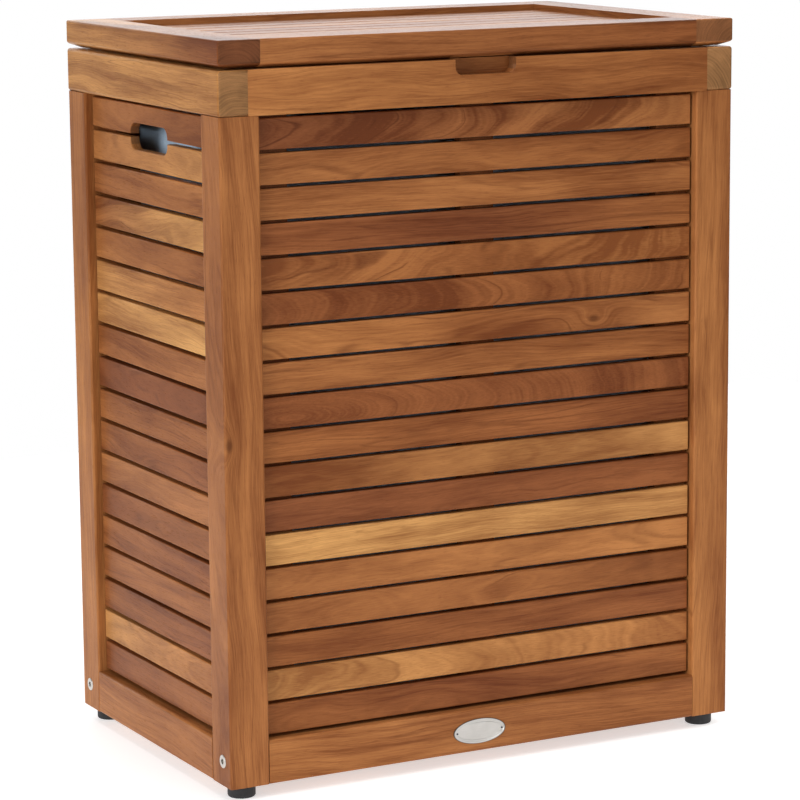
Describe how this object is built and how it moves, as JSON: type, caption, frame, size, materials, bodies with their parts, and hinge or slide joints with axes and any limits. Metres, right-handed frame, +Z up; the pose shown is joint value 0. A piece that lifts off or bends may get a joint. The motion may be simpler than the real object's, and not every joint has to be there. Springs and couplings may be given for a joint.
{
  "type": "laundry hamper",
  "caption": "Upright slatted wooden laundry hamper with a hinged, recessed slatted lid, side hand holes, a finger notch and a hanging fabric liner.",
  "frame": {"origin": "on the floor, at the middle of the outline seen from above", "axes": "+Z up, -Y towards the front with the finger notch, +X to the right seen from the front"},
  "size_m": [0.56, 0.3592, 0.7192],
  "materials": {
    "teak": "oiled teak, satin",
    "dowel_wood": "plain hardwood dowel",
    "nickel": "nickel plated, satin",
    "steel": "brushed stainless steel",
    "black_rubber": "matt black rubber",
    "canvas": "plain woven cotton canvas"
  },
  "bodies": {
    "carcass": {"rim_side_rail_left": "teak", "rim_side_rail_right": "teak", "rim_front_rail": "teak", "rim_back_rail": "teak", "post_front_left": "teak", "post_front_right": "teak", "post_back_left": "teak", "post_back_right": "teak", "bottom_rail_front": "teak", "bottom_rail_back": "teak", "bottom_rail_left": "teak", "bottom_rail_right": "teak", "front_slat_1": "teak", "front_slat_2": "teak", "front_slat_3": "teak", "front_slat_4": "teak", "front_slat_5": "teak", "front_slat_6": "teak", "front_slat_7": "teak", "front_slat_8": "teak", "front_slat_9": "teak", "front_slat_10": "teak", "front_slat_11": "teak", "front_slat_12": "teak", "front_slat_13": "teak", "front_slat_14": "teak", "front_slat_15": "teak", "front_slat_16": "teak", "front_slat_17": "teak", "front_slat_18": "teak", "back_slats": "teak", "left_slats": "teak", "right_slats": "teak", "panel_battens": "teak", "side_battens": "teak", "floor_cleats": "teak", "floor_slats": "teak", "frame_dowels": "dowel_wood", "frame_bolts": "nickel", "barrel_nuts": "nickel", "hinge_rim_leaves": "nickel", "hinge_rim_screws": "nickel", "hinge_pins": "nickel", "liner_knobs": "nickel", "slat_nails": "steel", "foot_screws": "steel", "badge_plate": "steel", "badge_pins": "steel", "feet": "black_rubber", "liner_bag": "canvas"},
    "lid": {"lid_side_rail_left": "teak", "lid_side_rail_right": "teak", "lid_front_rail": "teak", "lid_back_rail": "teak", "lid_slats": "teak", "lid_batten": "teak", "lid_batten_screws": "steel", "lid_dowels": "dowel_wood", "hinge_lid_leaves": "nickel", "hinge_lid_screws": "nickel"}
  },
  "joints": [
    {"name": "lid_hinge", "type": "hinge", "parent": "carcass", "child": "lid", "pos_m": [0, 0.1765, 0.6921], "axis": [-1, 0, 0], "range_deg": [0, 100]}
  ]
}
